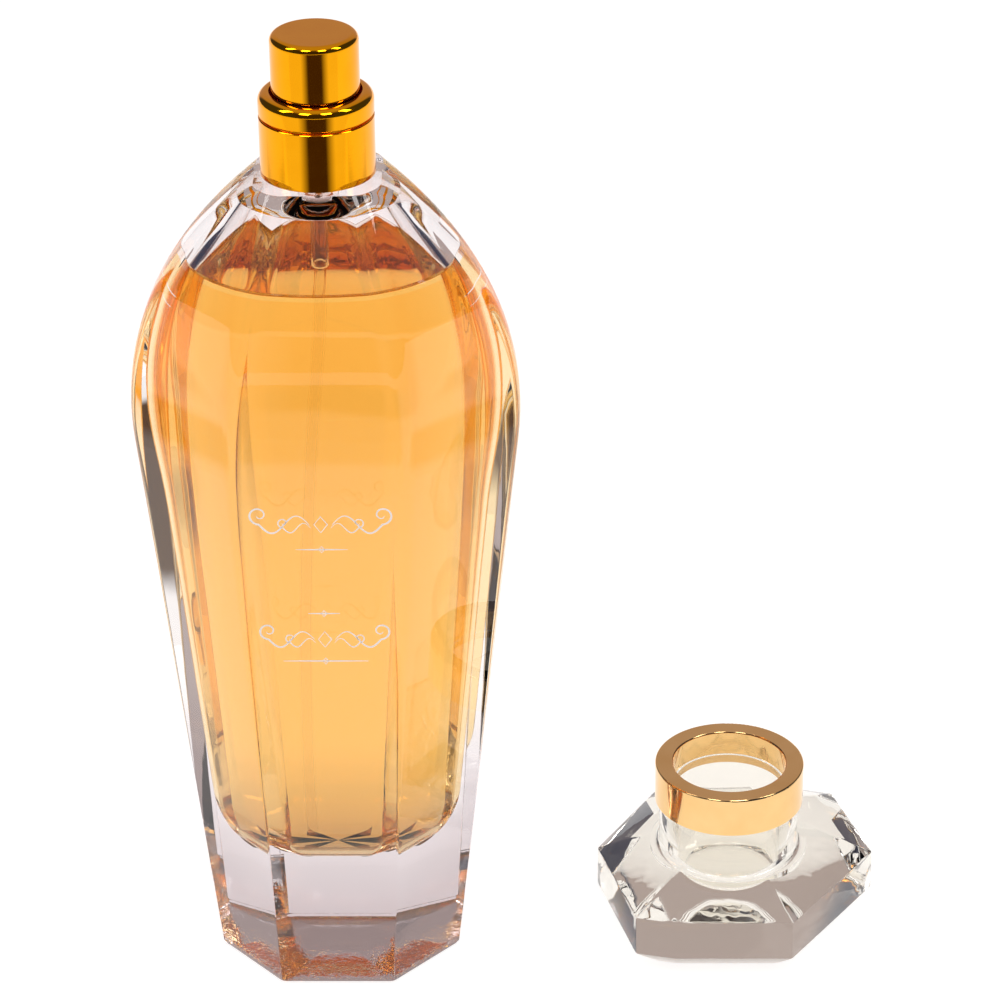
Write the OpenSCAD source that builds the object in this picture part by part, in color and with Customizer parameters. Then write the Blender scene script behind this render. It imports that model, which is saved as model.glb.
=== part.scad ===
// Faceted glass perfume bottle with a crimped spray pump and a lift-off cap.
// Millimetres. The origin is on the floor under the bottle's axis. +X is the bottle's right,
// +Y its back and +Z up. The cap stands upside down beside the bottle, its mouth upwards.

/* [Bottle body] */
// half-width at the foot, side to side
foot_half_x = 20.6; // [18:0.1:26]
// half-depth at the foot, front to back
foot_half_y = 18.5; // [13:0.1:22]
// distance from the axis to the four corner facets at the foot
foot_half_d = 19.6; // [14:0.1:24]
// direction of the corner facets, degrees from the side facets
corner_angle = 42; // [30:1:50]
// half-width at the shoulder line
wide_half_x = 31.8; // [28:0.1:36]
// half-depth at the shoulder line
wide_half_y = 22.5; // [20:0.1:30]
// distance from the axis to the corner facets at the shoulder line
wide_half_d = 25.5; // [22:0.1:34]
// height where the straight taper ends and the dome begins
shoulder_z = 97.3; // [85:0.5:110]
// height of the top of the dome, under the collar
dome_top_z = 144.6; // [135:0.1:155]
// half-width of the dome at its top
dome_half_x = 10.2; // [10:0.1:16]
// half-depth of the dome at its top
dome_half_y = 9.8; // [10:0.1:16]
// distance from the axis to the corner facets at the dome's top
dome_half_d = 11.8; // [10:0.1:16]
// rounding of the foot's lower edge
foot_round = 0.8; // [0.5:0.1:4]

/* [Inside of the bottle] */
// half-width of the cavity at its floor
cavity_foot_x = 16.2; // [14:0.1:22]
// half-depth of the cavity at its floor
cavity_foot_y = 11.4; // [9:0.1:18]
// distance from the axis to the cavity's corner facets at its floor
cavity_foot_d = 13.4; // [12:0.1:20]
// half-width of the cavity at the shoulder line
cavity_wide_x = 24.6; // [18:0.1:28]
// half-depth of the cavity at the shoulder line
cavity_wide_y = 16.5; // [12:0.1:22]
// distance from the axis to the cavity's corner facets at the shoulder line
cavity_wide_d = 19.9; // [15:0.1:24]
// thickness of the solid base
base_glass = 21.3; // [8:0.5:26]
// rounding of the cavity's lower edge
cavity_round = 9; // [3:0.5:14]
// height of the cavity's ceiling
cavity_top_z = 140.6; // [130:0.1:150]
// half-width of the cavity at its ceiling
cavity_top_x = 11.7; // [7:0.1:14]
// half-depth of the cavity at its ceiling
cavity_top_y = 9.4; // [7:0.1:12]
// distance from the axis to the cavity's corner facets at its ceiling
cavity_top_d = 11.1; // [7:0.1:13]
// height of the perfume's surface
fill_z = 128.2; // [60:0.5:135]

/* [Neck] */
// radius of the neck's bore
neck_bore_r = 4.2; // [3.6:0.05:5]
// radius of the glass bead the ferrule grips
bead_r = 7.3; // [6.8:0.05:7.6]
// radius of the neck under the bead
neck_r = 6.4; // [5.8:0.05:6.8]
// height of the bead's underside
bead_z = 147.9; // [146:0.1:150]
// height of the neck's rim
rim_z = 151; // [149:0.1:154]

/* [Collar] */
// outer radius of the collar
collar_r = 9.3; // [8.8:0.05:10]
// height of the collar's lower edge
collar_z = 144.9; // [144.7:0.1:147]
// height of the groove between the sleeve and the shoulder ring
groove_z = 154.9; // [152:0.1:157]
// height of the collar's top
collar_top_z = 158.8; // [157:0.1:162]
// radius of the opening the button passes through
collar_hole_r = 7.5; // [7.3:0.05:8]

/* [Spray button] */
// radius of the button
button_r = 7.12; // [6:0.01:7.3]
// height of the button's top
button_top_z = 168.4; // [165:0.1:174]
// height of the button's lower edge
button_z = 157.6; // [157:0.1:160]
// rounding of the button's top edge
button_round = 1.2; // [0.4:0.1:2]
// how far the button is pressed
press = 4; // [3:0.1:4.2]
// height of the spray hole
nozzle_z = 163.6; // [162:0.1:166]

/* [Pump] */
// radius of the stem
stem_r = 1.7; // [1.4:0.05:2]
// running clearance between the stem and its guide
stem_clear = 0.05; // [0.02:0.01:0.1]
// inner radius of the pump chamber
chamber_r = 2.5; // [2.2:0.05:3]
// height of the chamber's floor
chamber_z = 139.4; // [138:0.1:142]
// radius of the inlet ball
ball_r = 1; // [0.8:0.05:1.2]
// how far the inlet ball lifts
ball_lift = 0.6; // [0.3:0.05:0.8]
// wire radius of the return spring
wire_r = 0.18; // [0.12:0.01:0.25]
// number of coils in the return spring
coils = 4; // [3:0.5:5]

/* [Dip tube] */
// outer radius of the dip tube
tube_r = 1.15; // [0.9:0.05:1.5]
// height where the dip tube leaves the pump and starts to bend
tube_top_z = 127.4; // [125:0.1:130]
// radius of the short bend under the pump
tube_bend = 150; // [80:5:400]
// lean of the dip tube after the short bend, degrees
tube_lean = 6.2; // [3:0.1:9]
// radius of the long bend back
tube_sweep = 640; // [300:10:1200]
// angle of the long bend back, degrees
tube_sweep_angle = 7.85; // [6:0.05:9]

/* [Cap] */
// position of the cap beside the bottle, side to side
cap_x = 67.9; // [55:0.1:90]
// position of the cap beside the bottle, front to back
cap_y = 2.7; // [-20:0.1:20]
// height of the cap
cap_h = 32; // [28:0.1:40]
// half-depth of the gem at its girdle
gem_half_y = 20.2; // [15:0.1:25]
// height of the girdle's lower edge as the cap stands
girdle_z = 4.4; // [2:0.1:8]
// height of the girdle's upper edge as the cap stands
girdle_top_z = 11.8; // [9:0.1:16]
// slope of the long lower facets, degrees from the floor
pavilion_slope = 42; // [30:1:60]
// slope of the facets round the cup, degrees from the floor
crown_slope = 24; // [5:1:40]
// outer radius of the clear cup
cup_r = 12.1; // [11.5:0.05:13]
// inner radius of the clear cup
cup_bore_r = 9.5; // [9.4:0.05:10]
// height of the cup's floor as the cap stands
cup_floor_z = 8.4; // [6:0.1:12]
// outer radius of the gold ring
ring_r = 12.9; // [12.5:0.05:13.5]
// height of the gold ring's lower edge as the cap stands
ring_z = 24.9; // [22:0.1:28]
// inner radius of the gold ring
ring_bore_r = 9.8; // [9.6:0.05:10.5]

/* [Hidden] */
$fn = 96;
big = 200;
glass_c = [0.86, 0.86, 0.9, 0.45];
juice_c = [0.98, 0.68, 0.25, 0.7];
gold_c = [0.93, 0.66, 0.18];
pale_gold_c = [0.88, 0.68, 0.38];
plastic_c = [0.95, 0.95, 0.93];
clear_c = [0.9, 0.88, 0.84, 0.5];
steel_c = [0.75, 0.76, 0.78];

// ---------------------------------------------------------------- outlines

// Radius of the arc that leaves the straight taper at (ht, zt) and ends at (hn, zn).
function dome_r(m, dx, dz) = (dx * dx + dz * dz) * sqrt(1 + m * m) / (2 * (m * dz - dx));

// Lower outline of a pair of opposite facets: a straight taper with a rounded lower edge.
module taper_outline(h0, z0, ht, zt, rb) {
    m = (ht - h0) / (zt - z0);
    t = atan(m);
    fx = h0 + m * rb - rb / cos(t);
    n = 5;
    side = concat([for (i = [0:n]) let (a = -90 + i * (90 - t) / n)
        [fx + rb * cos(a), z0 + rb + rb * sin(a)]], [[ht, zt]]);
    polygon(concat(side, [for (i = [n + 1:-1:0]) [-side[i][0], side[i][1]]]));
}

// Upper outline of a pair of opposite facets: two arcs that carry on from the taper.
module dome_outline(h0, z0, ht, zt, hn, zn) {
    m = (ht - h0) / (zt - z0);
    l = sqrt(1 + m * m);
    r = dome_r(m, hn - ht, zn - zt);
    intersection() {
        translate([ht - r / l, zt + r * m / l]) circle(r, $fn = 240);
        translate([r / l - ht, zt + r * m / l]) circle(r, $fn = 240);
        translate([-ht - 5, zt]) square([2 * ht + 10, zn - zt]);
    }
}

// A pair of facets facing the direction a, as a long bar to be crossed with others.
module facet_pair(a) {
    rotate([0, 0, a]) rotate([90, 0, 0]) linear_extrude(height = big, center = true) children();
}

// A tapering body with a faceted dome, and a block inside that joins the two. Each pair of
// facets is [direction, half-width at the bottom, at the shoulder, at the top].
module vault(pairs, z0, zn, rb) {
    intersection_for(p = pairs) facet_pair(p[0]) taper_outline(p[1], z0, p[2], shoulder_z, rb);
    intersection_for(p = pairs) facet_pair(p[0])
        dome_outline(p[1], z0, p[2], shoulder_z, p[3], zn);
    intersection_for(p = pairs) facet_pair(p[0])
        translate([-p[2] + 0.5, shoulder_z - 3]) square([2 * p[2] - 1, 6]);
}

module body_shape() {
    vault([
        [0, foot_half_x, wide_half_x, dome_half_x],
        [90, foot_half_y, wide_half_y, dome_half_y],
        [corner_angle, foot_half_d, wide_half_d, dome_half_d],
        [-corner_angle, foot_half_d, wide_half_d, dome_half_d]
    ], 0, dome_top_z, foot_round);
}

// The cavity, made smaller all round by the gap g.
module cavity_shape(g) {
    vault([
        [0, cavity_foot_x - g, cavity_wide_x - g, cavity_top_x],
        [90, cavity_foot_y - g, cavity_wide_y - g, cavity_top_y],
        [corner_angle, cavity_foot_d - g, cavity_wide_d - g, cavity_top_d],
        [-corner_angle, cavity_foot_d - g, cavity_wide_d - g, cavity_top_d]
    ], base_glass + g, cavity_top_z, cavity_round);
}

// A ring with a square section.
module tube(r_out, r_in, z0, z1) {
    rotate_extrude() translate([r_in, z0]) square([r_out - r_in, z1 - z0]);
}

// An arc of a bar of radius r in the XZ plane, round [x, z], with the bend radius rb.
module arc_bar(r, x, z, rb, from, sweep) {
    translate([x, 0, z]) rotate([-90, 0, 0]) rotate([0, 0, from])
        rotate_extrude(angle = sweep, $fn = 360) translate([rb, 0]) circle(r, $fn = 32);
}

// The dip tube's path as a bar of radius r: straight in the pump's tail, then two bends.
// Each stretch runs a little into the one before it, and differs from it in radius by d.
module tube_path(r, d, extra) {
    px = tube_bend * (cos(tube_lean) - 1);
    pz = tube_top_z - tube_bend * sin(tube_lean);
    cx = px + tube_sweep * cos(tube_lean);
    cz = pz - tube_sweep * sin(tube_lean);
    a = tube_sweep_angle + extra;
    lap1 = 0.15;
    lap2 = 0.04;
    translate([0, 0, tube_top_z]) cylinder(r = r, h = 8.8 + extra);
    arc_bar(r + d, -tube_bend, tube_top_z, tube_bend, -lap1, tube_lean + lap1);
    arc_bar(r + 2 * d, cx, cz, tube_sweep, 180 + tube_lean - a + lap2, a);
}

// ---------------------------------------------------------------- bottle

module bottle() {
    e = 0.8;
    color(glass_c) difference() {
        union() {
            difference() {
                body_shape();
                cavity_shape(0);
            }
            translate([0, 0, dome_top_z - 1]) cylinder(r = neck_r, h = bead_z - dome_top_z + 2);
            translate([0, 0, bead_z]) cylinder(r1 = bead_r - e, r2 = bead_r, h = e);
            translate([0, 0, bead_z + e]) cylinder(r = bead_r, h = rim_z - bead_z - 2 * e);
            translate([0, 0, rim_z - e]) cylinder(r1 = bead_r, r2 = bead_r - e, h = e);
        }
        translate([0, 0, cavity_top_z - 6]) cylinder(r = neck_bore_r, h = 30);
    }
}

module perfume() {
    color(juice_c) difference() {
        intersection() {
            cavity_shape(0.05);
            translate([0, 0, fill_z / 2]) cube([big, big, fill_z], center = true);
        }
        tube_path(tube_r + 0.05, 0.01, 0.05);
        translate([0, 0, tube_top_z - 0.1]) cylinder(r = 1.82, h = 6);
    }
}

module neck_gasket() {
    color(plastic_c) tube(7.2, 5, rim_z, rim_z + 0.8);
}

// ---------------------------------------------------------------- pump

module pump_turret() {
    color(plastic_c) difference() {
        union() {
            translate([0, 0, rim_z + 0.8]) cylinder(r = 7.2, h = 0.8);
            translate([0, 0, rim_z + 0.8]) cylinder(r = 3.55, h = 2);
            translate([0, 0, rim_z + 2.8]) cylinder(r1 = 3.55, r2 = 3.15, h = 0.4);
        }
        translate([0, 0, rim_z]) cylinder(r = stem_r + stem_clear, h = 6);
    }
}

module pump_housing() {
    color(clear_c) difference() {
        union() {
            translate([0, 0, rim_z]) cylinder(r = 4.9, h = 0.8);
            translate([0, 0, chamber_z - 0.6]) cylinder(r = 3.5, h = rim_z - chamber_z + 0.6);
            translate([0, 0, chamber_z - 2.2]) cylinder(r1 = 2.6, r2 = 3.5, h = 1.6);
            translate([0, 0, tube_top_z]) cylinder(r = 1.75, h = 12);
        }
        translate([0, 0, chamber_z]) cylinder(r = chamber_r, h = 20);
        translate([0, 0, 120]) cylinder(r = 0.7, h = 20);
        translate([0, 0, 127]) cylinder(r = tube_r + 0.02, h = 9.4);
    }
}

module dip_tube() {
    color(clear_c) difference() {
        tube_path(tube_r, -0.01, 0);
        tube_path(tube_r - 0.35, 0.01, 0.1);
    }
}

module check_ball() {
    color(steel_c) translate([0, 0, chamber_z + sqrt(ball_r * ball_r - 0.49) + 0.02])
        sphere(ball_r, $fn = 48);
}

module ball_retainer() {
    z = chamber_z + sqrt(ball_r * ball_r - 0.49) + 0.02 + ball_r + ball_lift + 0.03;
    color(plastic_c) tube(chamber_r - 0.02, 0.6, z, z + 0.55);
}

// The return spring: a closed tube swept along a helix.
module main_spring() {
    z0 = 142.5;
    z1 = 148.35;
    n = 26;
    sides = 8;
    steps = coils * n;
    rm = 1.95;
    h = z1 - z0 - 2 * wire_r;
    points = [
        for (i = [0:steps], j = [0:sides - 1])
            let (a = i * 360 / n, b = j * 360 / sides, r = rm + wire_r * cos(b))
                [r * cos(a), r * sin(a), z0 + wire_r + h * i / steps + wire_r * sin(b)]
    ];
    faces = concat(
        [[for (j = [0:sides - 1]) j]],
        [for (i = [0:steps - 1], j = [0:sides - 1]) let (q = (j + 1) % sides)
            [i * sides + j, (i + 1) * sides + j, (i + 1) * sides + q, i * sides + q]],
        [[for (j = [sides - 1:-1:0]) steps * sides + j]]);
    color(steel_c) polyhedron(points, faces, convexity = 6);
}

module piston() {
    color(plastic_c) difference() {
        union() {
            translate([0, 0, 148.5]) cylinder(r = chamber_r - 0.03, h = 0.7);
            translate([0, 0, 149.2]) cylinder(r = chamber_r - 0.3, h = 1.2);
            translate([0, 0, 150.4]) cylinder(r = chamber_r - 0.03, h = 0.7);
        }
        translate([0, 0, 148]) cylinder(r = 1.22, h = 4);
    }
}

module stem() {
    color(plastic_c) difference() {
        union() {
            translate([0, 0, 148.8]) cylinder(r = 1.2, h = 2.6);
            translate([0, 0, 151.15]) cylinder(r = stem_r, h = 12.2);
        }
        translate([0, 0, 150.2]) cylinder(r = 0.6, h = 14);
        translate([0, 0, 151.7]) rotate([90, 0, 0]) cylinder(r = 0.25, h = 4, center = true);
    }
}

// ---------------------------------------------------------------- collar

module ferrule() {
    z_top = rim_z + 1.6;
    color(steel_c) union() {
        tube(7.95, 3.75, z_top, z_top + 0.4);
        tube(7.95, 7.5, bead_z - 1, z_top + 0.2);
        tube(7.95, 6.6, bead_z - 1, bead_z - 0.4);
    }
}

module collar_core() {
    color(plastic_c) union() {
        tube(8.85, 8.0, collar_z + 0.3, groove_z - 0.1);
        tube(8.75, 7.55, rim_z + 2.05, collar_top_z - 0.45);
    }
}

module collar_sleeve() {
    color(gold_c) rotate_extrude() union() {
        translate([8.87, collar_z]) square([collar_r - 8.87, groove_z - collar_z - 0.2 - 0.2]);
        intersection() {
            translate([8.87, groove_z - 0.62]) square([1, 0.45]);
            translate([8.87, groove_z - 0.62]) circle(0.43);
        }
    }
}

module collar_shoulder_ring() {
    r = 1.3;
    z = collar_top_z - r;
    ro = collar_r - 0.05;
    color(gold_c) rotate_extrude() difference() {
        union() {
            translate([collar_hole_r, groove_z + 0.25]) square([ro - r - collar_hole_r, collar_top_z - groove_z - 0.25]);
            translate([collar_hole_r, groove_z + 0.25]) square([ro - collar_hole_r, z - groove_z - 0.25]);
            translate([ro - r, z]) circle(r);
            translate([8.9, groove_z]) square([ro - 0.25 - 8.9, 0.5]);
        }
        translate([collar_hole_r - 0.1, groove_z - 1]) square([8.82 - collar_hole_r + 0.1, collar_top_z - 0.4 - groove_z + 1]);
        square([collar_hole_r, collar_top_z + 5]);
    }
}

// ---------------------------------------------------------------- spray button

module actuator_shell() {
    r = button_round;
    color(gold_c) difference() {
        rotate_extrude() union() {
            translate([0, button_z]) square([button_r, button_top_z - r - button_z]);
            translate([0, button_z]) square([button_r - r, button_top_z - button_z]);
            translate([button_r - r, button_top_z - r]) circle(r);
        }
        translate([0, 0, button_z - 1]) cylinder(r = button_r - 0.35, h = button_top_z - button_z + 0.6);
        translate([0, 0, nozzle_z]) rotate([-90, 0, 0]) cylinder(r = 1.75, h = 20);
    }
}

module actuator_core() {
    rc = button_r - 0.42;
    color(plastic_c) difference() {
        union() {
            translate([0, 0, button_top_z - 2.2]) cylinder(r = rc, h = 1.75);
            tube(rc, rc - 0.9, button_z + 1, button_top_z - 1);
            translate([0, 0, button_z + 1]) cylinder(r = 3.2, h = button_top_z - button_z - 2);
            translate([-2.6, 0, nozzle_z - 2.6]) cube([5.2, rc - 0.4, 5.2]);
        }
        translate([0, 0, button_z]) cylinder(r = stem_r + 0.02, h = 5.8);
        translate([0, 0, button_z + 1]) cylinder(r = 0.7, h = nozzle_z - button_z - 1);
        translate([0, 0, nozzle_z]) rotate([-90, 0, 0]) cylinder(r = 0.7, h = 5);
        translate([0, 3.8, nozzle_z]) rotate([-90, 0, 0]) cylinder(r = 1.55, h = 6);
    }
}

module nozzle_insert() {
    color(plastic_c) translate([0, 3.85, nozzle_z]) rotate([-90, 0, 0]) difference() {
        cylinder(r = 1.52, h = button_r - 3.85 - 0.5);
        translate([0, 0, -1]) cylinder(r = 0.9, h = 2.6);
        cylinder(r = 0.2, h = 5);
        translate([0, 0, button_r - 3.85 - 0.8]) cylinder(r1 = 0.2, r2 = 0.75, h = 0.4);
    }
}

// ---------------------------------------------------------------- cap

// Corners of the gem seen from above: an irregular octagon round the cup.
gem_points = let (h = gem_half_y) [
    [10.6, -h], [25.6, 2.3], [19.6, h + 1.3], [12.4, h + 3.4], [-12, h + 2.9], [-22.9, 3.6], [-16.4, -h + 1.6],
    [-9.6, -h]
];

// A wedge that takes off everything outside one sloping facet along the edge from p to q.
module facet_cut(p, q, z, slope, up) {
    d = q - p;
    a = atan2(d[1], d[0]);
    translate([p[0], p[1], z]) rotate([0, 0, a]) rotate([up ? slope : -slope, 0, 0])
        translate([-60, -60, up ? 0 : -60]) cube([160, 120, 60]);
}

module cap_body() {
    color(clear_c) translate([cap_x, cap_y, 0]) difference() {
        intersection() {
            linear_extrude(height = 22) polygon(gem_points);
            cube([80, 80, 40], center = true);
        }
        for (i = [0:7]) {
            facet_cut(gem_points[i], gem_points[(i + 1) % 8], girdle_top_z, crown_slope, true);
            facet_cut(gem_points[i], gem_points[(i + 1) % 8], girdle_z, pavilion_slope, false);
        }
        translate([0, 0, cup_floor_z - 2]) cylinder(r = cup_r + 0.05, h = 60);
    }
}

module cap_liner() {
    rb = 2.5;
    color(clear_c) translate([cap_x, cap_y, 0]) difference() {
        union() {
            translate([0, 0, cup_floor_z - 1.95]) cylinder(r = cup_r, h = ring_z - cup_floor_z + 3.2);
            translate([0, 0, ring_z]) cylinder(r = cup_r - 0.05, h = cap_h - ring_z - 0.75);
        }
        rotate_extrude() union() {
            translate([0, cup_floor_z + rb]) square([cup_bore_r, 60]);
            translate([0, cup_floor_z]) square([cup_bore_r - rb, 60]);
            translate([cup_bore_r - rb, cup_floor_z + rb]) circle(rb);
        }
        translate([0, 0, cap_h - 4.6]) cylinder(r = ring_bore_r + 0.45, h = 10);
    }
}

module cap_ring() {
    rt = 0.35;
    color(pale_gold_c) translate([cap_x, cap_y, 0]) rotate_extrude() difference() {
        union() {
            translate([ring_bore_r, cap_h - 4.5]) square([ring_r - ring_bore_r, 4.5 - rt]);
            translate([cup_r + 0.05, ring_z]) square([ring_r - cup_r - 0.05, 5]);
            translate([ring_bore_r + rt, cap_h - 1]) square([ring_r - ring_bore_r - 2 * rt, 1]);
            translate([ring_bore_r + rt, cap_h - rt]) circle(rt, $fn = 32);
            translate([ring_r - rt, cap_h - rt]) circle(rt, $fn = 32);
        }
        translate([ring_bore_r + 0.4, cap_h - 10]) square([cup_r + 0.05 - ring_bore_r - 0.4, 9.3]);
    }
}

// ---------------------------------------------------------------- nodes

bottle();
perfume();
neck_gasket();
pump_turret();
pump_housing();
dip_tube();
check_ball();
ball_retainer();
main_spring();
piston();
stem();
ferrule();
collar_core();
collar_sleeve();
collar_shoulder_ring();
actuator_shell();
actuator_core();
nozzle_insert();
cap_body();
cap_liner();
cap_ring();
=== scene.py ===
import math

import bmesh
import bpy
from mathutils import Matrix, Vector


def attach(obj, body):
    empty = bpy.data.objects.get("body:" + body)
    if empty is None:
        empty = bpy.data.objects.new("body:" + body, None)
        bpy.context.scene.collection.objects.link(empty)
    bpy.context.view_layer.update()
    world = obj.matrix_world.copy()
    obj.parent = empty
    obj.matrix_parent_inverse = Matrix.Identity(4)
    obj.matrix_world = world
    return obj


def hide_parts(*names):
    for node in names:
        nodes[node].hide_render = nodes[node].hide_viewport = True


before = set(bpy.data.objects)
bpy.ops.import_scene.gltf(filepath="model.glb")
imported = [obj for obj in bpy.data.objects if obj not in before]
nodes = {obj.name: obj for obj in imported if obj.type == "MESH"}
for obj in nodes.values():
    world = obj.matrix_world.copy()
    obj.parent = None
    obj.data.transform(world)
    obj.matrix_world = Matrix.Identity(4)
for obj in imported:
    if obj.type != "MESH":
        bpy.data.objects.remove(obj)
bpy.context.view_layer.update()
scene = bpy.context.scene
MM = 0.001


# ------------------------------------------------------------------ camera

CAMERA_AT = (0.04052, -0.59031, 0.39896)
PITCH, YAW, ROLL = 28.01, 1.16, -0.63
SENSOR, LENS = 36.0, 144.0


def make_camera():
    """Long lens, looking down at the bottle from the front, turned and rolled by a degree."""
    pitch, yaw, roll = math.radians(PITCH), math.radians(YAW), math.radians(ROLL)
    fwd = Vector((-math.sin(yaw) * math.cos(pitch), math.cos(yaw) * math.cos(pitch), -math.sin(pitch)))
    right = Vector((math.cos(yaw), math.sin(yaw), 0))
    up = right.cross(fwd)
    right = right * math.cos(roll) + up * math.sin(roll)
    up = right.cross(fwd)
    data = bpy.data.cameras.new("camera")
    data.sensor_width = SENSOR
    data.lens = LENS
    data.clip_start = 0.02
    data.clip_end = 60.0
    cam = bpy.data.objects.new("camera", data)
    rot = Matrix((right, up, -fwd)).transposed().to_4x4()
    cam.matrix_world = Matrix.Translation(CAMERA_AT) @ rot
    scene.collection.objects.link(cam)
    scene.camera = cam


# ------------------------------------------------------------------ node helpers

def new_material(name):
    m = bpy.data.materials.new(name)
    m.use_nodes = True
    m.node_tree.nodes.clear()
    return m, m.node_tree.nodes, m.node_tree.links


def noise(n, l, scale, detail=3.0, rough=0.5, stretch=(1, 1, 1)):
    """Noise in the object's own coordinates."""
    mp = n.new("ShaderNodeMapping")
    mp.inputs["Scale"].default_value = stretch
    tx = n.new("ShaderNodeTexNoise")
    tx.inputs["Scale"].default_value = scale
    tx.inputs["Detail"].default_value = detail
    tx.inputs["Roughness"].default_value = rough
    l.new(coordinates(n, "Object"), mp.inputs["Vector"])
    l.new(mp.outputs["Vector"], tx.inputs["Vector"])
    return tx.outputs["Fac"]


def spread(n, l, fac, lo, hi, a=0.3, b=0.7, soft=False):
    """Maps fac from a..b to lo..hi, in a straight line or along a soft curve."""
    r = n.new("ShaderNodeMapRange")
    if soft:
        r.interpolation_type = "SMOOTHSTEP"
    r.inputs["From Min"].default_value = a
    r.inputs["From Max"].default_value = b
    r.inputs["To Min"].default_value = lo
    r.inputs["To Max"].default_value = hi
    l.new(fac, r.inputs["Value"])
    return r.outputs["Result"]


def math_node(n, l, op, a, b=0.0):
    k = n.new("ShaderNodeMath")
    k.operation = op
    for sock, v in zip(k.inputs, (a, b)):
        if isinstance(v, bpy.types.NodeSocket):
            l.new(v, sock)
        else:
            sock.default_value = v
    return k.outputs["Value"]


def vector_node(n, l, op, vector, result):
    k = n.new("ShaderNodeVectorMath")
    k.operation = op
    l.new(vector, k.inputs[0])
    return k.outputs[result]


def coordinates(n, kind):
    return n.new("ShaderNodeTexCoord").outputs[kind]


def axes(n, l, vector):
    sep = n.new("ShaderNodeSeparateXYZ")
    l.new(vector, sep.inputs["Vector"])
    return sep.outputs["X"], sep.outputs["Y"], sep.outputs["Z"]


def height_mask(n, l, lo, hi):
    """0 at the height lo and beyond it, 1 at hi and beyond it, in mm."""
    x, y, z = axes(n, l, coordinates(n, "Object"))
    return spread(n, l, z, 0.0, 1.0, lo * MM, hi * MM)


def two_tone(n, l, fac, first, second):
    """first where fac is 0 and second where it is 1; first is a colour or a node's output."""
    mx = n.new("ShaderNodeMix")
    mx.data_type = "RGBA"
    if isinstance(first, bpy.types.NodeSocket):
        l.new(first, mx.inputs["A"])
    else:
        mx.inputs["A"].default_value = (*first, 1)
    mx.inputs["B"].default_value = (*second, 1)
    l.new(fac, mx.inputs["Factor"])
    return mx.outputs["Result"]


def bump(n, l, height, depth, normal=None):
    b = n.new("ShaderNodeBump")
    b.inputs["Distance"].default_value = depth
    b.inputs["Strength"].default_value = 1.0
    l.new(height, b.inputs["Height"])
    if normal is not None:
        l.new(normal, b.inputs["Normal"])
    return b.outputs["Normal"]


def surface(n, l, **values):
    """A Principled shader with the given sockets; returns the output node."""
    p = n.new("ShaderNodeBsdfPrincipled")
    for key, v in values.items():
        sock = p.inputs[key.replace("_", " ")]
        if isinstance(v, bpy.types.NodeSocket):
            l.new(v, sock)
        elif isinstance(v, tuple):
            sock.default_value = (*v, 1)
        else:
            sock.default_value = v
    out = n.new("ShaderNodeOutputMaterial")
    l.new(p.outputs["BSDF"], out.inputs["Surface"])
    return out


def glow(n, l, col):
    em = n.new("ShaderNodeEmission")
    l.new(col, em.inputs["Color"])
    out = n.new("ShaderNodeOutputMaterial")
    l.new(em.outputs["Emission"], out.inputs["Surface"])


def link_mesh(name, me):
    ob = bpy.data.objects.new(name, me)
    scene.collection.objects.link(ob)
    return ob


# ------------------------------------------------------------------ materials

# The foot's darker lilac tint is painted shade, for the shaded floor seen through the thick base; the body's
# faint tint is the glass's own.
FOOT_PAINTED_SHADE, BODY_TINT = (0.62, 0.54, 0.56), (0.985, 0.965, 0.975)
WALL_TINT, FILM_TINT = (1.0, 0.77, 0.39), (1.0, 0.97, 0.90)
DEPTH_TINT, DENSITY = (0.998, 0.745, 0.02), 47.0
GLASS_IOR, PERFUME_IOR = 1.5, 1.33
FOOT_SHADE_LO, FOOT_SHADE_HI = 15.0, 34.0


def bottle_glass():
    """Clear glass, a little uneven as pressed glass is, with a mottled underside and a foot tinted darker as
    painted shade, for the shaded floor seen through the base.
    """
    m, n, l = new_material("clear_glass")
    nrm = bump(n, l, noise(n, l, 55.0, 2.0, 0.45), 0.00002)
    # Painted shade: the foot's glass is tinted darker, blending into the body's tint between 15 and 34 mm.
    tint = two_tone(n, l, height_mask(n, l, FOOT_SHADE_LO, FOOT_SHADE_HI), FOOT_PAINTED_SHADE, BODY_TINT)
    under = math_node(n, l, "MULTIPLY", noise(n, l, 900.0, 2.0, 0.6), height_mask(n, l, 2.2, 1.7))
    nrm = bump(n, l, under, 0.00009, nrm)
    surface(n, l, Base_Color=tint, Transmission_Weight=1.0, Roughness=0.0, IOR=GLASS_IOR, Normal=nrm)
    return m


def clear_material(name, tint, ior, wave, scale, rough=0.0, through=1.0):
    """Clear plastic with faint waves; wave is their depth in metres."""
    m, n, l = new_material(name)
    nrm = bump(n, l, noise(n, l, scale, 2.0, 0.45), wave)
    surface(n, l, Base_Color=tint, Transmission_Weight=through, Roughness=rough, IOR=ior, Normal=nrm)
    return m


def perfume_material():
    """Amber liquid: its walls tint what is seen through them, its surface is paler, depth adds colour."""
    m, n, l = new_material("amber_perfume")
    nrm = bump(n, l, noise(n, l, 30.0, 1.0, 0.4), 0.000004)
    film = height_mask(n, l, FILL_Z - 0.12, FILL_Z - 0.04)
    tint = two_tone(n, l, film, WALL_TINT, FILM_TINT)
    out = surface(n, l, Base_Color=tint, Transmission_Weight=1.0, Roughness=0.0, IOR=PERFUME_IOR, Normal=nrm)
    v = n.new("ShaderNodeVolumeAbsorption")
    v.inputs["Color"].default_value = (*DEPTH_TINT, 1)
    v.inputs["Density"].default_value = DENSITY
    l.new(v.outputs["Volume"], out.inputs["Volume"])
    return m


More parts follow.
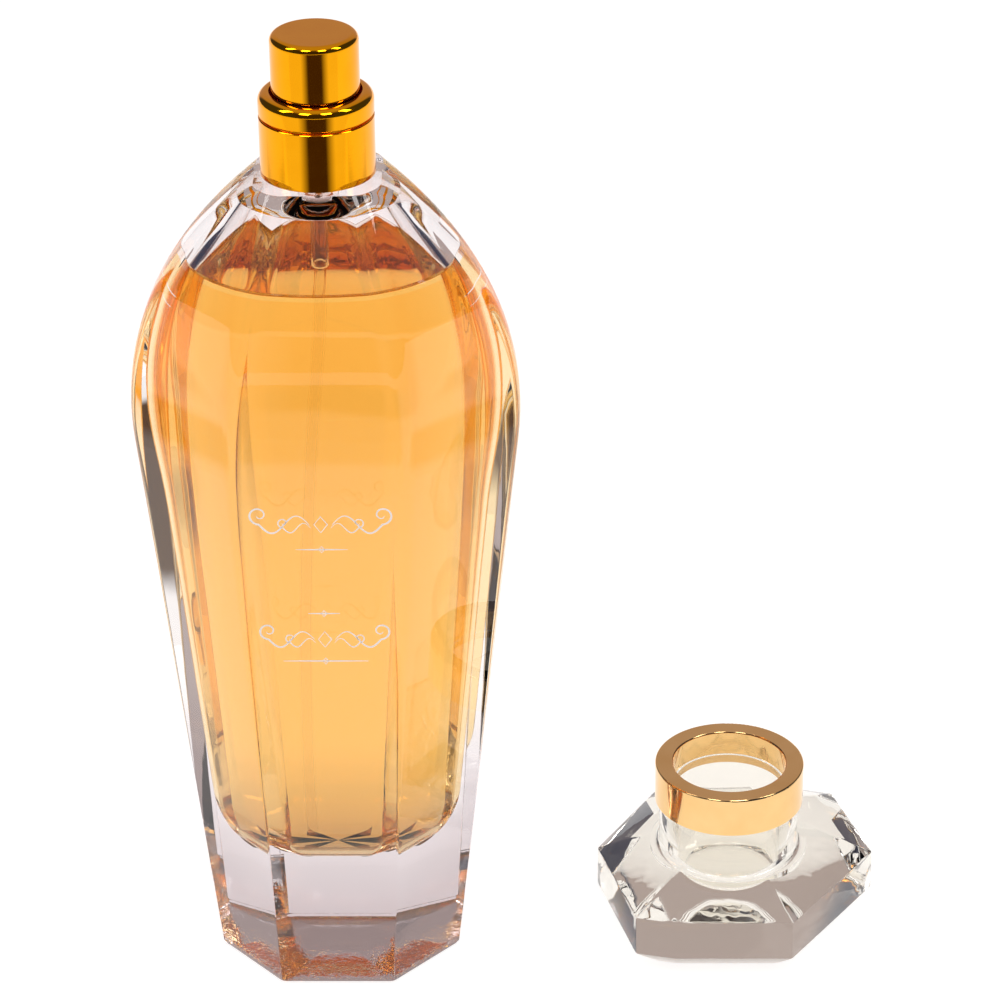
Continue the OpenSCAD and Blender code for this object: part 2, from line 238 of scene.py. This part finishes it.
def gold_material(name, base, deep, rough=0.06, lines=0.0000015):
    """Mirror anodised metal with fine turning lines, a faint colour drift and handling haze."""
    m, n, l = new_material(name)
    drift = spread(n, l, noise(n, l, 160.0, 3.0), 0.0, 1.0)
    col = two_tone(n, l, drift, deep, base)
    haze = spread(n, l, noise(n, l, 420.0, 5.0, 0.6), rough, rough + 0.05, 0.35, 0.75)
    turn = noise(n, l, 900.0, 2.0, 0.5, (0.05, 0.05, 8.0))
    nrm = bump(n, l, turn, lines)
    surface(n, l, Base_Color=col, Metallic=1.0, Roughness=haze, Normal=nrm)
    return m


def plain_metal(name, base, deep, rough):
    m, n, l = new_material(name)
    drift = spread(n, l, noise(n, l, 500.0, 4.0), 0.0, 1.0)
    col = two_tone(n, l, drift, deep, base)
    r = spread(n, l, noise(n, l, 900.0, 3.0), rough, rough + 0.12)
    nrm = bump(n, l, noise(n, l, 1500.0, 2.0, 0.5, (1, 1, 6)), 0.000002)
    surface(n, l, Base_Color=col, Metallic=1.0, Roughness=r, Normal=nrm)
    return m


def plastic_material(name, base, deep, rough=0.38):
    m, n, l = new_material(name)
    drift = spread(n, l, noise(n, l, 300.0, 4.0), 0.0, 1.0)
    col = two_tone(n, l, drift, deep, base)
    r = spread(n, l, noise(n, l, 700.0, 3.0), rough, rough + 0.15)
    nrm = bump(n, l, noise(n, l, 2500.0, 2.0), 0.000004)
    surface(n, l, Base_Color=col, Roughness=r, Normal=nrm)
    return m


# ------------------------------------------------------------------ body shape

# Lengths are in mm. Each triple is how far out the side, front and corner facets are.
FOOT, WIDE, TOP = (20.6, 18.5, 19.6), (31.8, 22.5, 25.5), (10.2, 9.8, 11.8)
IN_FOOT, IN_WIDE, IN_TOP = (16.2, 11.4, 13.4), (24.6, 16.5, 19.9), (11.7, 9.4, 11.1)
CORNER = 42.0
MOST_ROUND = 0.93
SHOULDER_Z, DOME_Z, CEIL_Z = 97.3, 144.6, 140.6
BASE, FOOT_R, FLOOR_R = 21.3, 0.8, 9.0
PUSH_UP, BEARING, HEEL_Z = 2.0, 0.93, 0.5
FILL_Z = 128.2
THIN = 2.4
CAVITY_TOP = 140.2
NECK = ((9.2, 144.95), (8.2, 145.2), (7.2, 145.35), (6.7, 145.5), (6.45, 145.9), (6.4, 146.4), (6.4, 147.3),
        (6.5, 147.7), (6.75, 147.9), (7.1, 148.0), (7.28, 148.3), (7.3, 148.8), (7.3, 150.2), (7.2, 150.7),
        (6.9, 150.96), (6.5, 151.0), (4.6, 151.0), (4.3, 150.93), (4.2, 150.6), (4.2, 149), (4.2, 147),
        (4.2, 145), (4.2, 143.4), (4.25, 142.4), (4.6, 141.6))
INTO_GLASS = 0.03
MENISCUS = ((0.06, 0.93), (0.18, 0.74), (0.4, 0.5), (0.7, 0.3),
            (1.1, 0.16), (1.6, 0.07), (2.3, 0.02), (3.2, 0.0))
PRINT, INK = 0.02, 0.015


def half(z, h0, ht, hn, z0, zn, rb):
    """Distance of one facet pair from the axis at height z: rounded lower edge, taper, dome."""
    zt = SHOULDER_Z
    m = (ht - h0) / (zt - z0)
    el = math.sqrt(1 + m * m)
    if z < z0 + rb:
        return h0 + m * rb - rb * el + math.sqrt(max(rb * rb - (z - z0 - rb) ** 2, 0.0))
    if z <= zt:
        return h0 + m * (z - z0)
    dx, dz = hn - ht, zn - zt
    r = (dx * dx + dz * dz) * el / (2 * (m * dz - dx))
    cx, cz = ht - r / el, zt + r * m / el
    return cx + math.sqrt(r * r - (z - cz) ** 2)


def outer_at(z):
    return [half(z, a, b, c, 0.0, DOME_Z, FOOT_R) for a, b, c in zip(FOOT, WIDE, TOP)]


def cavity_at(z):
    """The glass is thinner round the sides of the dome than the straight wall below it."""
    thin = THIN * smooth((z - 85) / 30) * smooth((136 - z) / 14)
    return [h + thin * k for h, k in zip(cavity_plain(z), (1.0, 0.35, 0.9))]


def cavity_plain(z):
    return [half(z, a, b, c, BASE, CEIL_Z, FLOOR_R) for a, b, c in zip(IN_FOOT, IN_WIDE, IN_TOP)]


def facet_ring(d, rho, z, arc=7, flat=3):
    """A closed octagon with corners of radius rho; d is how far out its side, front and corner facets are."""
    a, b, c = d
    cs, sn = math.cos(math.radians(CORNER)), math.sin(math.radians(CORNER))
    side, front = (c - a * cs) / sn, (c - b * sn) / cs
    rho = min(rho, MOST_ROUND * side * sn / (1 - cs), MOST_ROUND * front * cs / (1 - sn))
    dirs = [(0, a), (CORNER, c), (90, b), (180 - CORNER, c)]
    dirs += [(180, a), (180 + CORNER, c), (270, b), (360 - CORNER, c)]
    pts, corners = [], []
    for i in range(8):
        (t1, d1), (t2, d2) = dirs[i], dirs[(i + 1) % 8]
        t1, t2 = math.radians(t1), math.radians(t2 if t2 > t1 else t2 + 360)
        d1, d2 = d1 - rho, d2 - rho
        det = math.sin(t2 - t1)
        cx = (d1 * math.sin(t2) - d2 * math.sin(t1)) / det
        cy = (d2 * math.cos(t1) - d1 * math.cos(t2)) / det
        turns = [t1 + (t2 - t1) * k / (arc - 1) for k in range(arc)]
        corners.append([(cx + rho * math.cos(t), cy + rho * math.sin(t)) for t in turns])
    for i in range(8):
        pts += corners[i]
        x0, y0 = corners[i][-1]
        x1, y1 = corners[(i + 1) % 8][0]
        for k in range(1, flat + 1):
            f = k / (flat + 1)
            pts.append((x0 + (x1 - x0) * f, y0 + (y1 - y0) * f))
    return [(x, y, z) for x, y in pts]


def round_ring(r, z, like):
    """A circle whose points lie in the directions of another ring's points."""
    out = []
    for x, y, _ in like:
        t = math.atan2(y, x)
        out.append((r * math.cos(t), r * math.sin(t), z))
    return out


def scaled(ring, f, z):
    return [(x * f, y * f, z) for x, y, _ in ring]


def blend_ring(r0, r1, f, z):
    return [(a[0] + (b[0] - a[0]) * f, a[1] + (b[1] - a[1]) * f, z) for a, b in zip(r0, r1)]


def loft(name, rings, start, end):
    """A solid from rings with the same number of points, closed by a centre point at either end."""
    verts = [tuple(c * MM for c in p) for r in rings for p in r]
    n = len(rings[0])
    faces = []
    for i in range(len(rings) - 1):
        for k in range(n):
            q = (k + 1) % n
            faces.append((i * n + k, i * n + q, (i + 1) * n + q, (i + 1) * n + k))
    first, last = len(verts), len(verts) + 1
    rim = (len(rings) - 1) * n
    verts += [tuple(c * MM for c in p) for p in (start, end)]
    faces += [(first, (k + 1) % n, k) for k in range(n)]
    faces += [(last, rim + k, rim + (k + 1) % n) for k in range(n)]
    me = bpy.data.meshes.new(name)
    me.from_pydata(verts, [], faces)
    me.validate()
    bm = bmesh.new()
    bm.from_mesh(me)
    if bm.calc_volume(signed=True) < 0:
        bmesh.ops.reverse_faces(bm, faces=bm.faces)
    bm.to_mesh(me)
    bm.free()
    for p in me.polygons:
        p.use_smooth = True
    ob = link_mesh(name, me)
    wn = ob.modifiers.new("flat_faces", "WEIGHTED_NORMAL")
    wn.mode = "FACE_AREA"
    wn.weight = 80
    wn.keep_sharp = True
    return ob


def corner_round(z):
    """Radius of the glass's upright edges: crisp at the foot, softer above."""
    return 0.35 + 4.15 * smooth((z - 15) / (SHOULDER_Z - 15))


def cavity_round(z):
    """Radius of the cavity's upright edges: tight at its floor, soft above."""
    return 1.6 + 6.4 * smooth((z - BASE) / (110 - BASE))


def smooth(f):
    f = min(max(f, 0.0), 1.0)
    return f * f * (3 - 2 * f)


def cavity_ring(z, g=0.0, at=None):
    """The cavity's outline at height z, grown by g: a rounded octagon that turns oval near the top."""
    d = [h + g for h in cavity_at(z)]
    ring = facet_ring(d, cavity_round(z) + g, z if at is None else at)
    oval = 0.12 + 0.63 * smooth((z - 80) / (FILL_Z - 80))
    out = []
    for x, y, h in ring:
        t = math.atan2(y, x)
        r = 1 / math.sqrt((math.cos(t) / d[0]) ** 2 + (math.sin(t) / d[1]) ** 2)
        out.append((x + (r * math.cos(t) - x) * oval, y + (r * math.sin(t) - y) * oval, h))
    return out


def steps(a, b, n):
    return [a + (b - a) * (i / n) for i in range(n + 1)]


def dome_heights(top, angles):
    """Heights between the shoulder and top, closer together near the top."""
    return [SHOULDER_Z + (top - SHOULDER_Z) * math.sin(math.radians(t)) for t in angles]


def floor_heights(angles):
    """Heights along the rounded edge of the cavity's floor."""
    return [BASE + FLOOR_R * (1 - math.cos(math.radians(t))) for t in angles]


def foot_rings():
    """The shallow push-up under the base, the ring it stands on and the heel."""
    foot = facet_ring(outer_at(HEEL_Z + 0.3), 1.5, 0)
    rings = []
    for f in (0.1, 0.25, 0.4, 0.52, 0.62, 0.69, 0.74, 0.79, 0.84, 0.88):
        rings.append(scaled(foot, f, PUSH_UP * (1 - smooth(f / BEARING) ** 2)))
    for f in (BEARING, BEARING + 0.035):
        rings.append(scaled(foot, f, 0))
    rings.append(scaled(foot, 0.985, HEEL_Z * 0.5))
    for t in (20, 45, 70):
        a = math.radians(t)
        rings.append(scaled(foot, 0.975 + 0.025 * math.sin(a), HEEL_Z + 0.3 * (1 - math.cos(a))))
    return rings


def wall_rings():
    """The faceted wall from the heel up to the shoulder, and the dome above it."""
    heights = steps(HEEL_Z + 0.3, SHOULDER_Z, 26) + dome_heights(DOME_Z, range(3, 91, 3))
    return [facet_ring(outer_at(z), corner_round(z), z) for z in heights]


def neck_rings(like):
    """The neck with its bead, over the rim and down the bore to the cavity's ceiling."""
    rings = [round_ring(r, z, like) for r, z in NECK]
    ceiling = cavity_ring(CAVITY_TOP)
    for r, share, z in ((5.4, 0.25, 141.0), (6.2, 0.6, 140.6)):
        rings.append(blend_ring(round_ring(r, 0, like), ceiling, share, z))
    return rings


def cavity_rings():
    """The cavity from its ceiling down to its floor."""
    heights = dome_heights(CAVITY_TOP, range(90, 0, -3))
    heights += steps(SHOULDER_Z, BASE + FLOOR_R, 22)
    heights += floor_heights(range(84, 0, -6))
    rings = [cavity_ring(z) for z in heights]
    low = cavity_ring(BASE)
    rings.append(low)
    return rings + [scaled(low, f, BASE) for f in (0.75, 0.5, 0.25, 0.1)]


def make_bottle(mat):
    outside = foot_rings() + wall_rings()
    rings = outside + neck_rings(outside[-1]) + cavity_rings()
    ob = loft("bottle_glass", rings, (0, 0, PUSH_UP), (0, 0, BASE))
    ob.data.materials.append(mat)
    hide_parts("bottle")
    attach(ob, "bottle_body")


def make_perfume(mat):
    """The liquid, a hair into the glass so that no air gap shows, with a meniscus."""
    low = cavity_ring(BASE, INTO_GLASS, BASE - INTO_GLASS)
    rings = [scaled(low, f, BASE - INTO_GLASS) for f in (0.1, 0.25, 0.5, 0.75)]
    rings.append(low)
    heights = floor_heights(range(6, 85, 6))
    heights += steps(BASE + FLOOR_R, SHOULDER_Z, 22)
    heights += steps(SHOULDER_Z, FILL_Z + 1.0, 16)[1:]
    rings += [cavity_ring(z, INTO_GLASS) for z in heights]
    rings += [cavity_ring(FILL_Z + rise, -inward) for inward, rise in MENISCUS]
    last = rings[-1]
    rings += [scaled(last, f, FILL_Z) for f in (0.7, 0.4, 0.15)]
    ob = loft("perfume_liquid", rings, (0, 0, BASE - INTO_GLASS), (0, 0, FILL_Z))
    ob.data.materials.append(mat)
    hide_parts("perfume")
    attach(ob, "bottle_body")


# ------------------------------------------------------------------ cap

# Lengths are in mm, apart from the two that end in _M, which are in metres.
GEM_H = 20.2
GEM = ((10.6, -GEM_H), (25.6, 2.3), (19.6, GEM_H + 1.3), (12.4, GEM_H + 3.4),
       (-12, GEM_H + 2.9), (-22.9, 3.6), (-16.4, -GEM_H + 1.6), (-9.6, -GEM_H))
GEM_BEVEL = 0.4
GEM_TOP_M, GEM_BLANK_M = 0.020, 0.12
GIRDLE_LO, GIRDLE_HI, PAVILION, CROWN = 4.4, 11.8, 42.0, 24.0
CUP_R, CUP_BORE, CUP_FLOOR, CUP_ROUND = 12.1, 9.5, 8.4, 2.5
CUP_LOW, CUP_TOP, FILLET, FILLET_TOP = 9, 31.25, 1.6, 17.4
RING_BORE, RING_LOW, ABOVE_CUP = 10.25, 27.4, 40
CAP_X, CAP_Y = 67.9, 2.7


def cut_plane(bm, point, normal):
    """Keeps what is behind the plane and closes the cut."""
    geom = bm.verts[:] + bm.edges[:] + bm.faces[:]
    r = bmesh.ops.bisect_plane(bm, geom=geom, dist=1e-7, plane_co=point, plane_no=normal, clear_outer=True)
    edges = [e for e in r["geom_cut"] if isinstance(e, bmesh.types.BMEdge)]
    bmesh.ops.contextual_create(bm, geom=edges)


def gem_mesh():
    """The gem without its cup: a girdle with a sloping facet above and below each edge."""
    bm = bmesh.new()
    bmesh.ops.create_cube(bm, size=GEM_BLANK_M)
    cut_plane(bm, (0, 0, 0), (0, 0, -1))
    cut_plane(bm, (0, 0, GEM_TOP_M), (0, 0, 1))
    for i, (px, py) in enumerate(GEM):
        qx, qy = GEM[(i + 1) % len(GEM)]
        out = Vector((qy - py, px - qx, 0)).normalized()
        for z, tilt in ((GIRDLE_LO, PAVILION - 90), (GIRDLE_LO, 0), (GIRDLE_HI, 90 - CROWN)):
            up = math.radians(tilt)
            cut_plane(bm, (px * MM, py * MM, z * MM), out * math.cos(up) + Vector((0, 0, math.sin(up))))
    bmesh.ops.remove_doubles(bm, verts=bm.verts, dist=1e-6)
    bmesh.ops.bevel(bm, geom=bm.edges[:], offset=GEM_BEVEL * MM, segments=2, affect="EDGES", profile=0.6)
    bmesh.ops.recalc_face_normals(bm, faces=bm.faces)
    me = bpy.data.meshes.new("cap_gem")
    bm.to_mesh(me)
    bm.free()
    return me


def turned(name, profile, count=96):
    """A closed turned shape from (radius, height) pairs that start and end on the axis."""
    bm = bmesh.new()
    rows = []
    for r, z in profile:
        if r == 0:
            rows.append([bm.verts.new((0, 0, z * MM))])
        else:
            turns = [2 * math.pi * k / count for k in range(count)]
            rows.append([bm.verts.new((r * MM * math.cos(t), r * MM * math.sin(t), z * MM)) for t in turns])
    for a, b in zip(rows, rows[1:]):
        for k in range(count):
            q = (k + 1) % count
            if len(a) == 1:
                bm.faces.new((a[0], b[k], b[q]))
            elif len(b) == 1:
                bm.faces.new((a[k], a[q], b[0]))
            else:
                bm.faces.new((a[k], a[q], b[q], b[k]))
    bmesh.ops.recalc_face_normals(bm, faces=bm.faces)
    me = bpy.data.meshes.new(name)
    bm.to_mesh(me)
    bm.free()
    return link_mesh(name, me)


def drill(name, r, lo, hi):
    return turned(name, [(0, lo), (r, lo), (r, hi), (0, hi)])


def arc(cx, cz, r, a0, a1, n=8):
    turns = [math.radians(a0 + (a1 - a0) * k / n) for k in range(n + 1)]
    return [(cx + r * math.cos(t), cz + r * math.sin(t)) for t in turns]


def combine(ob, mat, *tools):
    """Joins or cuts the tools, which are (object, operation), and leaves one mesh of one material."""
    for tool, kind in tools:
        m = ob.modifiers.new(kind.lower(), "BOOLEAN")
        m.operation = kind
        m.object = tool
        m.solver = "EXACT"
    bpy.context.view_layer.update()
    done = bpy.data.meshes.new_from_object(ob.evaluated_get(bpy.context.evaluated_depsgraph_get()))
    ob.modifiers.clear()
    for tool, kind in tools:
        bpy.data.objects.remove(tool)
    done.materials.clear()
    done.materials.append(mat)
    ob.data = done


def smooth_shade(me, sharp):
    """Smooth shading, but edges of more than sharp degrees stay crisp."""
    me.shade_smooth()
    me.set_sharp_from_angle(angle=math.radians(sharp))


def cup_wall():
    """The cup's outside, with a fillet where it meets the gem."""
    wide = CUP_R + FILLET
    profile = [(0, CUP_LOW), (wide, CUP_LOW), (wide, FILLET_TOP - FILLET)]
    for t in range(15, 91, 15):
        a = math.radians(t)
        profile.append((wide - FILLET * math.sin(a), FILLET_TOP - FILLET * math.cos(a)))
    profile += [(CUP_R - 0.06, CUP_TOP), (0, CUP_TOP)]
    return turned("cap_neck", profile)


def cup_bore():
    """The cup's inside, wider at the top where the gold ring sits."""
    profile = [(0, CUP_FLOOR)] + arc(CUP_BORE - CUP_ROUND, CUP_FLOOR + CUP_ROUND, CUP_ROUND, -90, 0)
    profile += [(CUP_BORE, RING_LOW), (RING_BORE, RING_LOW), (RING_BORE, ABOVE_CUP), (0, ABOVE_CUP)]
    return turned("cap_bore", profile)


def make_cap(mat):
    """The gem and its cup as one clear moulding, so that no air gap shows between them."""
    ob = link_mesh("cap_gem", gem_mesh())
    combine(ob, mat, (cup_wall(), "UNION"), (cup_bore(), "DIFFERENCE"))
    ob.data.transform(Matrix.Translation((CAP_X * MM, CAP_Y * MM, 0)))
    smooth_shade(ob.data, 18)
    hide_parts("cap_body", "cap_liner")
    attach(ob, "cap")


# ------------------------------------------------------------------ collar

def make_shoulder_ring(mat):
    """The collar's top as a full soft roll above the groove, open in the middle for the button."""
    radius, low, top, roll, chamfer = 9.3, 155.05, 158.75, 1.55, 0.14
    well = 156.6
    profile = [(0, low), (radius - chamfer, low), (radius, low + chamfer)]
    profile += arc(radius + 0.02 - roll, top - roll, roll, 0, 158, 16)
    profile += [(7.55, well), (0, well)]
    ob = turned("collar_shoulder_roll", profile)
    combine(ob, mat, (drill("collar_bore", 7.5, 150, 162), "DIFFERENCE"))
    smooth_shade(ob.data, 40)
    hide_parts("collar_shoulder_ring")
    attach(ob, "bottle_body")


def make_ferrule_foot(mat):
    """The ferrule's turned-in foot, which shows as gold through the glass under the collar."""
    ob = turned("ferrule_foot", [(0, 145.75), (9.0, 145.75), (9.05, 145.85), (9.0, 145.95), (0, 145.95)])
    combine(ob, mat, (drill("foot_bore", 6.75, 145, 147), "DIFFERENCE"))
    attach(ob, "bottle_body")


# ------------------------------------------------------------------ printed ornament

def ribbon(bm, pts, width):
    """A flat printed line through (x, z) points on the front facet."""
    left, right = [], []
    for i, (x, z) in enumerate(pts):
        x0, z0 = pts[max(i - 1, 0)]
        x1, z1 = pts[min(i + 1, len(pts) - 1)]
        d = math.hypot(x1 - x0, z1 - z0) or 1.0
        w = width / 2 * (0.35 + 0.65 * math.sin(math.pi * (i + 0.5) / len(pts)))
        ox, oz = -(z1 - z0) / d * w, (x1 - x0) / d * w
        for side, k in ((left, 1), (right, -1)):
            px, pz = x + ox * k, z + oz * k
            side.append(bm.verts.new((px * MM, -(outer_at(pz)[1] + PRINT) * MM, pz * MM)))
    for i in range(len(pts) - 1):
        bm.faces.new((left[i], right[i], right[i + 1], left[i + 1]))


def scroll(side, z0, size):
    """One half of a flourish: a wave that ends in a curl."""
    pts = []
    for k in range(25):
        t = k / 24
        pts.append((side * size * (0.14 + 0.60 * t), z0 + size * 0.12 * math.sin(2 * math.pi * t)))
    for k in range(1, 29):
        a = math.radians(-90 + 15 * k)
        r = size * 0.13 * (1 - 0.028 * k)
        pts.append((side * (size * 0.74 + r * math.cos(a)), z0 + size * 0.13 + r * math.sin(a)))
    return pts


def diamond(x, z, w, h):
    return [(x - w, z), (x, z + h), (x + w, z), (x, z - h), (x - w, z)]


def make_print(mat):
    """A generic white ornament printed on the front facet: scrolls, diamonds and fine rules."""
    bm = bmesh.new()
    for z0, size in ((92.3, 13.5), (70.4, 12.5)):
        for side in (-1, 1):
            ribbon(bm, scroll(side, z0, size), 0.34)
            inner = scroll(1, z0 - 0.9, size * 0.55)
            ribbon(bm, [(side * (x + 0.6), z + size * 0.02) for x, z in inner], 0.22)
        ribbon(bm, diamond(0, z0, 1.1, 1.5), 0.22)
    for z0, w in ((87.6, 4.2), (75.4, 2.6), (66.2, 7.0)):
        ribbon(bm, [(w * k / 8, z0) for k in range(-8, 9)], 0.26)
        ribbon(bm, diamond(0, z0, 0.45, 0.6), 0.2)
    me = bpy.data.meshes.new("front_print")
    bm.to_mesh(me)
    bm.free()
    ob = link_mesh("front_print", me)
    me.materials.append(mat)
    thick = ob.modifiers.new("ink", "SOLIDIFY")
    thick.thickness = INK * MM
    thick.offset = 1.0
    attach(ob, "bottle_body")


# ------------------------------------------------------------------ stage

# Lengths are in metres.
TABLE_HALF, TABLE_Z, FLAG_Z = 9.0, -0.0002, 0.0008
TABLE_LIGHT, FLAG_DARK, SIDE_DIM = (0.98, 0.97, 0.96), (0.050, 0.030, 0.024), (0.16, 0.13, 0.13)
BEHIND, AHEAD, OVERHEAD = (0.46, 0.375, 0.35), (0.045, 0.035, 0.035), (0.51, 0.45, 0.46)
BESIDE, BACKDROP = (0.050, 0.055, 0.085), (0.95, 0.95, 0.95)


def flat_panel(name, quads, z):
    """Level rectangles at the height z, each from its four (x, y) corners, in metres."""
    verts = [(x, y, z) for quad in quads for x, y in quad]
    faces = [tuple(range(k, k + 4)) for k in range(0, len(verts), 4)]
    me = bpy.data.meshes.new(name)
    me.from_pydata(verts, [], faces)
    return link_mesh(name, me)


def only_reflected(ob):
    ob.visible_camera = False
    ob.visible_diffuse = False
    ob.visible_shadow = False


def make_floor():
    """A wide table a hair below the parts, which glows a little."""
    s = TABLE_HALF
    ob = flat_panel("floor", [[(-s, -s), (s, -s), (s, s), (-s, s)]], TABLE_Z)
    m, n, l = new_material("white_table")
    grain = spread(n, l, noise(n, l, 60.0, 4.0), 0.0, 1.0)
    col = two_tone(n, l, grain, (0.29, 0.288, 0.286), (0.31, 0.308, 0.306))
    surface(n, l, Base_Color=col, Roughness=0.6, Specular_IOR_Level=0.2,
            Emission_Color=(1.0, 0.985, 0.975), Emission_Strength=0.90)
    ob.data.materials.append(m)


def make_flag():
    """The studio's dark end in front of the table, seen only in reflections, with a soft curved edge."""
    x, near, far = 1.6, -0.18, -1.8
    ob = flat_panel("flag", [[(-x, far), (x, far), (x, near), (-x, near)]], FLAG_Z)
    m, n, l = new_material("dark_end")
    edge_lo, edge_hi, wobble_by = 0.245, 0.285, 0.02
    middle, bend_angle, bend_by = 0.06, 0.52, 0.035
    fade_lo, fade_hi = 0.30, 0.62
    at = coordinates(n, "Object")
    across, along, up = axes(n, l, at)
    angle = math_node(n, l, "ARCTAN2", across, math_node(n, l, "MULTIPLY", along, -1.0))
    turn = math_node(n, l, "ABSOLUTE", math_node(n, l, "SUBTRACT", angle, middle))
    bend = math_node(n, l, "POWER", math_node(n, l, "DIVIDE", turn, bend_angle), 4.0)
    reach = math_node(n, l, "MULTIPLY", bend, bend_by)
    past = math_node(n, l, "SUBTRACT", vector_node(n, l, "LENGTH", at, "Value"), reach)
    wobble = math_node(n, l, "MULTIPLY", noise(n, l, 9.0, 1.0), wobble_by)
    dark = spread(n, l, math_node(n, l, "ADD", past, wobble), 0.0, 1.0, edge_lo, edge_hi, soft=True)
    shade = math_node(n, l, "MULTIPLY", dark, spread(n, l, turn, 1.0, 0.0, fade_lo, fade_hi))
    glow(n, l, two_tone(n, l, shade, TABLE_LIGHT, FLAG_DARK))
    ob.data.materials.append(m)
    only_reflected(ob)


def make_side_flags():
    """Dim strips on the table at either side, seen only in reflections, with soft edges."""
    outline = ((0.19, -0.15), (0.34, -0.15), (0.34, 0.15), (0.19, 0.15))
    ob = flat_panel("side_flags", [[(side * x, y) for x, y in outline] for side in (-1, 1)], FLAG_Z)
    m, n, l = new_material("dim_sides")
    across, along, up = axes(n, l, vector_node(n, l, "ABSOLUTE", coordinates(n, "Object"), "Vector"))
    near = spread(n, l, across, 0.0, 1.0, 0.20, 0.225)
    far = spread(n, l, across, 1.0, 0.0, 0.305, 0.33)
    ends = spread(n, l, along, 1.0, 0.0, 0.10, 0.14)
    dim = math_node(n, l, "MULTIPLY", math_node(n, l, "MULTIPLY", near, far), ends)
    glow(n, l, two_tone(n, l, dim, TABLE_LIGHT, SIDE_DIM))
    ob.data.materials.append(m)
    only_reflected(ob)


def make_world():
    """A dim studio: grey behind and overhead, dark in front and beside, white where it is seen directly."""
    w = bpy.data.worlds.new("studio")
    scene.world = w
    w.use_nodes = True
    n, l = w.node_tree.nodes, w.node_tree.links
    n.clear()
    across, along, up = axes(n, l, coordinates(n, "Generated"))
    col = two_tone(n, l, spread(n, l, along, 0.0, 1.0, 0.25, -0.45, soft=True), BEHIND, AHEAD)
    col = two_tone(n, l, spread(n, l, up, 0.0, 1.0, 0.72, 0.95, soft=True), col, OVERHEAD)
    beside = spread(n, l, math_node(n, l, "ABSOLUTE", across), 0.0, 1.0, 0.50, 0.66, soft=True)
    col = two_tone(n, l, beside, col, BESIDE)
    direct = n.new("ShaderNodeLightPath").outputs["Is Camera Ray"]
    bg = n.new("ShaderNodeBackground")
    l.new(two_tone(n, l, direct, col, BACKDROP), bg.inputs["Color"])
    out = n.new("ShaderNodeOutputWorld")
    l.new(bg.outputs["Background"], out.inputs["Surface"])


AIM, LAMP_DISTANCE = (0.03, 0, 0.1), 1.3


def softbox(name, azimuth, elevation, w, h, radiance):
    """A rectangular lamp that faces AIM; azimuth 0 is in front, and w and h are in metres."""
    a, e = math.radians(azimuth), math.radians(elevation)
    d = bpy.data.lights.new(name, "AREA")
    d.shape = "RECTANGLE"
    d.size = w
    d.size_y = h
    d.energy = radiance * w * h * math.pi
    d.color = (1.0, 0.985, 0.97)
    ob = bpy.data.objects.new(name, d)
    at = Vector((math.sin(a) * math.cos(e), -math.cos(a) * math.cos(e), math.sin(e)))
    ob.location = Vector(AIM) + at * LAMP_DISTANCE
    ob.rotation_mode = "QUATERNION"
    ob.rotation_quaternion = (-at).to_track_quat("-Z", "Y")
    scene.collection.objects.link(ob)


# ------------------------------------------------------------------ build

make_camera()
glass = bottle_glass()
liquid = perfume_material()
gold = gold_material("gold_anodised", (1.0, 0.42, 0.006), (0.96, 0.385, 0.004))
pale = gold_material("pale_gold_anodised", (0.93, 0.62, 0.28), (0.88, 0.56, 0.23), 0.05)
acrylic = clear_material("clear_acrylic", (0.89, 0.865, 0.80), 1.49, 0.00007, 130.0)
tube_clear = clear_material("tube_plastic", (0.98, 0.97, 0.96), 1.04, 0.00001, 200.0)
pump_clear = clear_material("pump_plastic", (1.0, 0.93, 0.91), 1.16, 0.00003, 300.0, 0.08, 0.95)
white = plastic_material("white_plastic", (0.86, 0.86, 0.84), (0.80, 0.80, 0.78))
steel = plain_metal("spring_steel", (0.72, 0.73, 0.75), (0.62, 0.63, 0.66), 0.2)

materials = {
    "neck_gasket": gold, "ferrule": gold, "collar_core": gold, "collar_sleeve": gold,
    "collar_shoulder_ring": gold, "actuator_shell": gold, "cap_ring": pale,
    "pump_turret": white, "ball_retainer": white, "actuator_core": white,
    "nozzle_insert": white, "stem": white, "piston": white,
    "main_spring": steel, "check_ball": steel,
    "pump_housing": pump_clear, "dip_tube": tube_clear, "cap_body": acrylic, "cap_liner": acrylic,
}
for name, mat in materials.items():
    for slot in nodes[name].material_slots:
        slot.material = mat

make_bottle(glass)
make_perfume(liquid)
make_cap(acrylic)
make_shoulder_ring(gold)
make_ferrule_foot(gold)
make_print(plastic_material("print_ink", (0.98, 0.90, 0.86), (0.94, 0.84, 0.80), 0.5))

make_floor()
make_side_flags()
make_flag()
make_world()
softbox("softbox_left", -27, 52, 0.34, 0.34, 8.0)
softbox("softbox_right", 27, 52, 0.34, 0.34, 8.0)
softbox("softbox_far_left", -75, 45, 0.25, 0.6, 6.0)
softbox("softbox_far_right", 75, 45, 0.25, 0.6, 6.0)

scene.view_settings.view_transform = "Standard"
scene.view_settings.look = "None"
scene.cycles.max_bounces = 24
scene.cycles.transmission_bounces = 20
scene.cycles.glossy_bounces = 12
scene.cycles.sample_clamp_indirect = 8.0
scene.cycles.blur_glossy = 0.3
